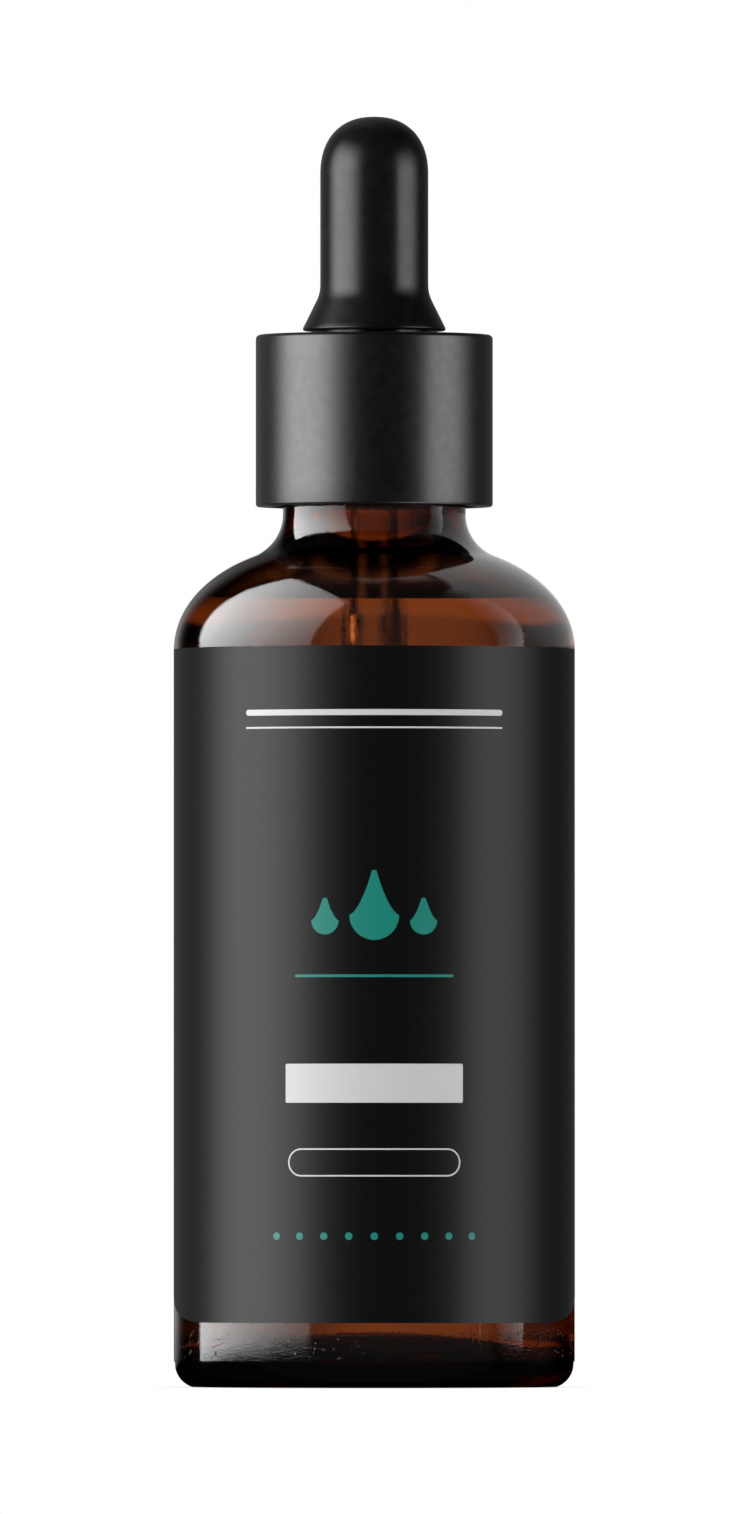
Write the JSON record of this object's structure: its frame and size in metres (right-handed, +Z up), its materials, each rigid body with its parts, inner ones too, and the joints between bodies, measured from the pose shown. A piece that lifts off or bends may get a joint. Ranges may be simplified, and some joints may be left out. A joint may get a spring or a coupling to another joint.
{
  "type": "dropper bottle",
  "caption": "Amber glass dropper bottle with a black wrap label and a tincture inside; its screw collar turns and lifts the rubber bulb and glass pipette.",
  "frame": {"origin": "centre of the base, on the plane the bottle stands on", "axes": "+Z up along the bottle's axis, through the bulb; -Y is the front, where the middle of the label faces"},
  "size_m": [0.0374, 0.0374, 0.1179],
  "materials": {
    "bottle_glass": "gloss",
    "tincture": "gloss",
    "label_film": "satin",
    "collar_plastic": "satin",
    "bulb_rubber": "matte",
    "pipette_glass": "gloss"
  },
  "bodies": {
    "bottle": {"bottle": "bottle_glass", "tincture": "tincture", "label": "label_film"},
    "dropper": {"bulb": "bulb_rubber", "pipette": "pipette_glass"},
    "collar": {"collar": "collar_plastic"}
  },
  "joints": [
    {"name": "dropper_rise", "type": "slide", "parent": "bottle", "child": "dropper", "axis": [0, 0, 1], "range_m": [0, 0.0045]},
    {"name": "collar_turn", "type": "hinge", "parent": "dropper", "child": "collar", "pos_m": [0, 0, 0.09], "axis": [0, 0, 1], "range_deg": [0, 540]}
  ],
  "couplings": [
    {"joint": "dropper_rise", "follows": "collar_turn", "m_per_rad": 0.00047746}
  ]
}
